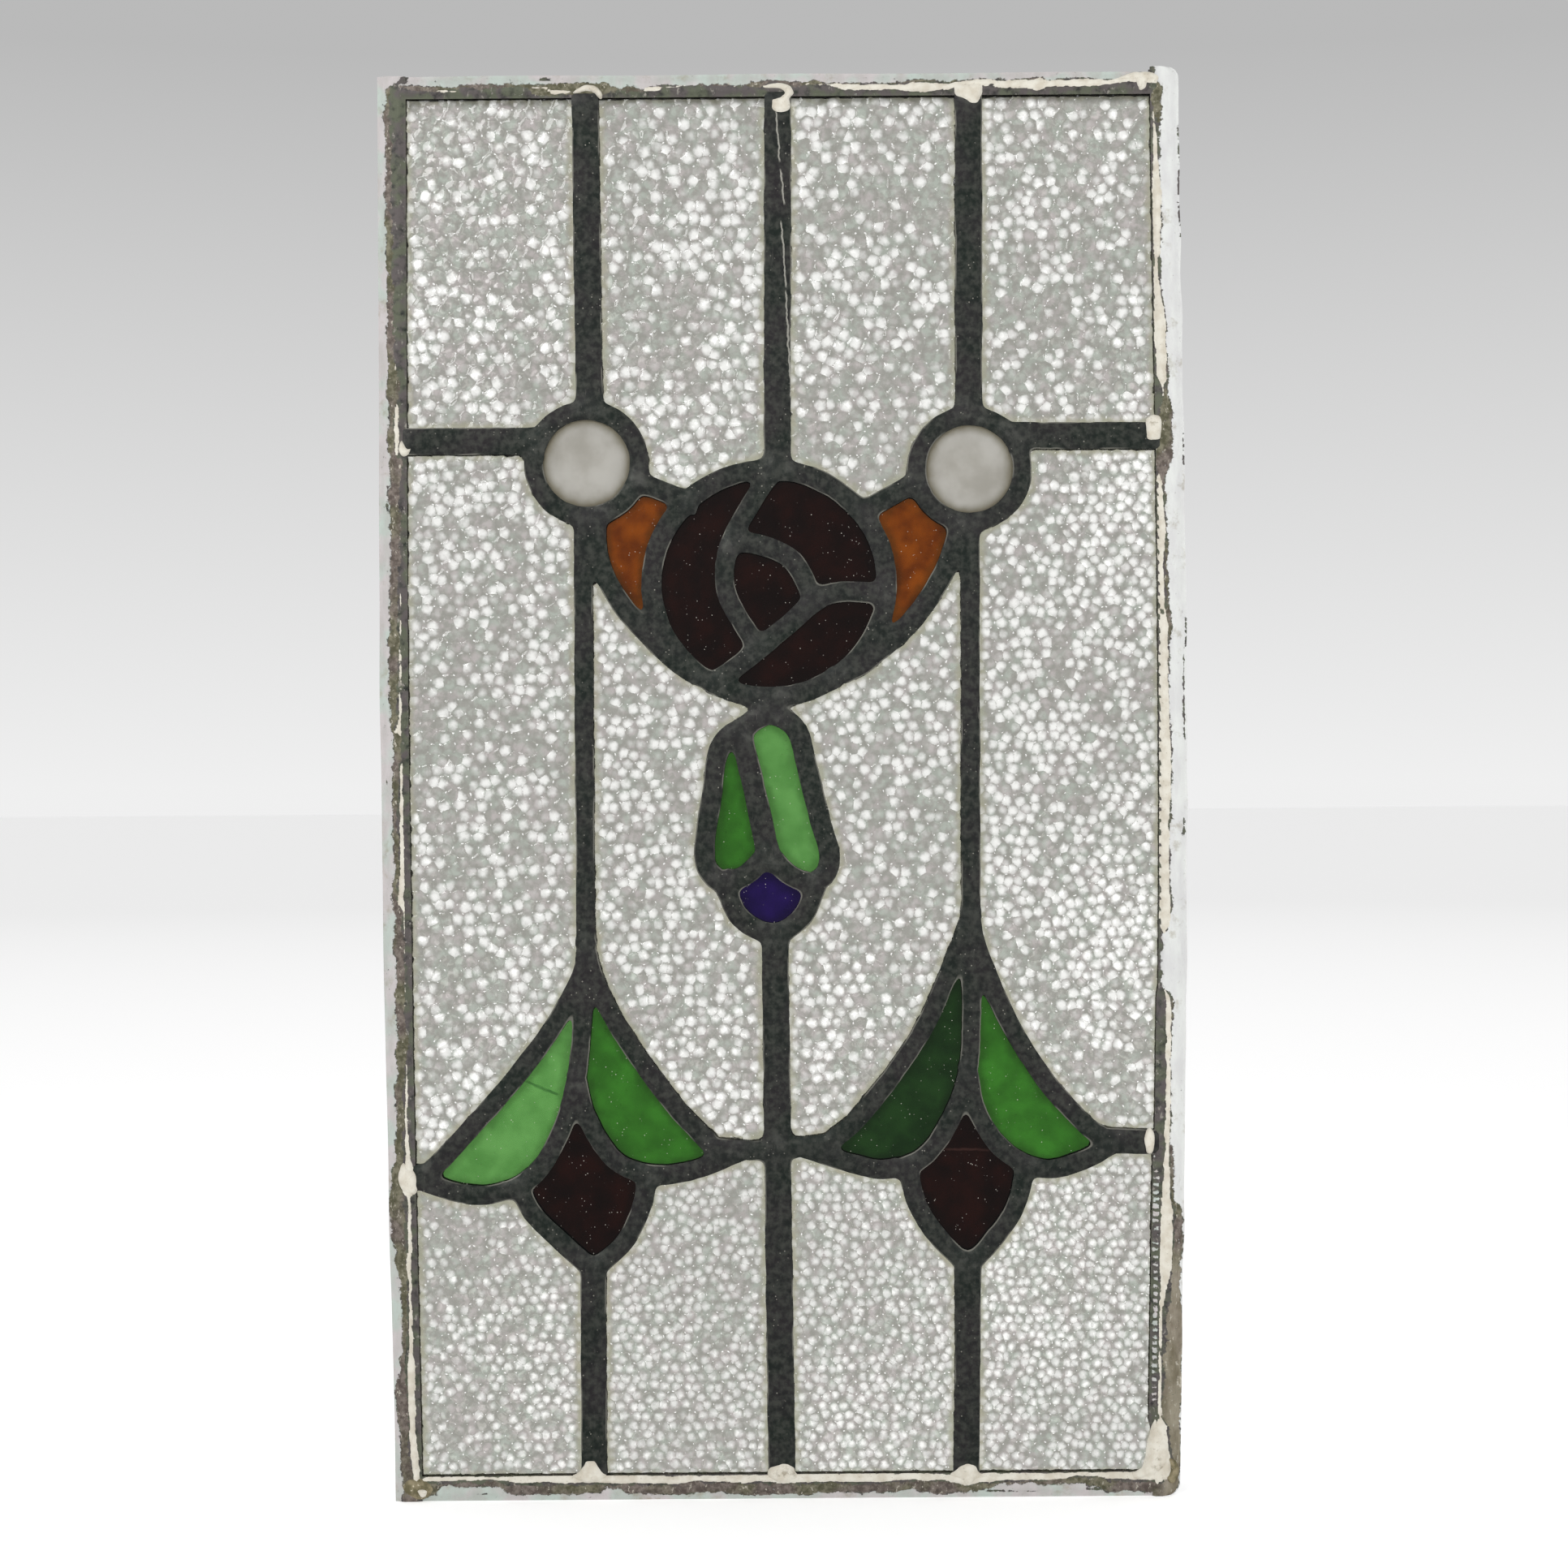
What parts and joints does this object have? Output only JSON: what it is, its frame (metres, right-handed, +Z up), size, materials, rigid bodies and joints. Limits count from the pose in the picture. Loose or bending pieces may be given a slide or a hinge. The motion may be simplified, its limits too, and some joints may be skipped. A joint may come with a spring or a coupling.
{
  "type": "stained glass window panel",
  "caption": "Tall leaded light of clear textured glass with a stylised rose, bud and tulips in coloured glass, held in lead cames.",
  "frame": {"origin": "middle of the foot edge, halfway through the thickness, where the panel stands in its window opening", "axes": "+Z up, the front faces -Y, +X to the right seen from the front"},
  "size_m": [0.3595, 0.0072, 0.637],
  "materials": {
    "lead": "dull oxidised lead came with soldered joints",
    "clear_glass": "clear rolled glass with a pebbled face",
    "opal_glass": "milky opal glass",
    "amber_glass": "amber cathedral glass",
    "garnet_glass": "very dark red glass",
    "green_glass": "green cathedral glass",
    "deep_green_glass": "dark green cathedral glass",
    "violet_glass": "deep violet glass",
    "old_putty": "dried putty and flaking paint left on the border"
  },
  "bodies": {
    "root": {"border_left": "lead", "border_right": "lead", "border_top": "lead", "border_foot": "lead", "came_head_left": "lead", "came_head_centre": "lead", "came_head_right": "lead", "came_cross_left": "lead", "came_cross_right": "lead", "came_roundel_left": "lead", "came_roundel_right": "lead", "came_stem_left": "lead", "came_stem_right": "lead", "came_sepal_left": "lead", "came_sepal_right": "lead", "came_bridge_left": "lead", "came_bridge_right": "lead", "came_rose_ring": "lead", "came_petal_long": "lead", "came_petal_mid": "lead", "came_petal_low": "lead", "came_bud": "lead", "came_centre": "lead", "came_foot_left": "lead", "came_foot_right": "lead", "came_tulip_left_leaves": "lead", "came_tulip_left_heart": "lead", "came_tulip_left_cup": "lead", "came_tulip_right_leaves": "lead", "came_tulip_right_heart": "lead", "came_tulip_right_cup": "lead", "pane_head_outer_left": "clear_glass", "pane_head_inner_left": "clear_glass", "pane_head_inner_right": "clear_glass", "pane_head_outer_right": "clear_glass", "pane_middle_outer_left": "clear_glass", "pane_middle_inner_left": "clear_glass", "pane_middle_inner_right": "clear_glass", "pane_middle_outer_right": "clear_glass", "pane_foot_outer_left": "clear_glass", "pane_foot_inner_left": "clear_glass", "pane_foot_inner_right": "clear_glass", "pane_foot_outer_right": "clear_glass", "roundel_left": "opal_glass", "roundel_right": "opal_glass", "sepal_left": "amber_glass", "sepal_right": "amber_glass", "rose_petal_left": "garnet_glass", "rose_petal_right": "garnet_glass", "rose_petal_low": "garnet_glass", "rose_heart": "garnet_glass", "tulip_left_heart": "garnet_glass", "tulip_right_heart": "garnet_glass", "bud_leaf_left": "green_glass", "bud_leaf_right": "green_glass", "tulip_left_leaf_left": "green_glass", "tulip_left_leaf_right": "green_glass", "tulip_right_leaf_right": "green_glass", "tulip_right_leaf_left": "deep_green_glass", "bud_tip": "violet_glass"}
  },
  "joints": []
}
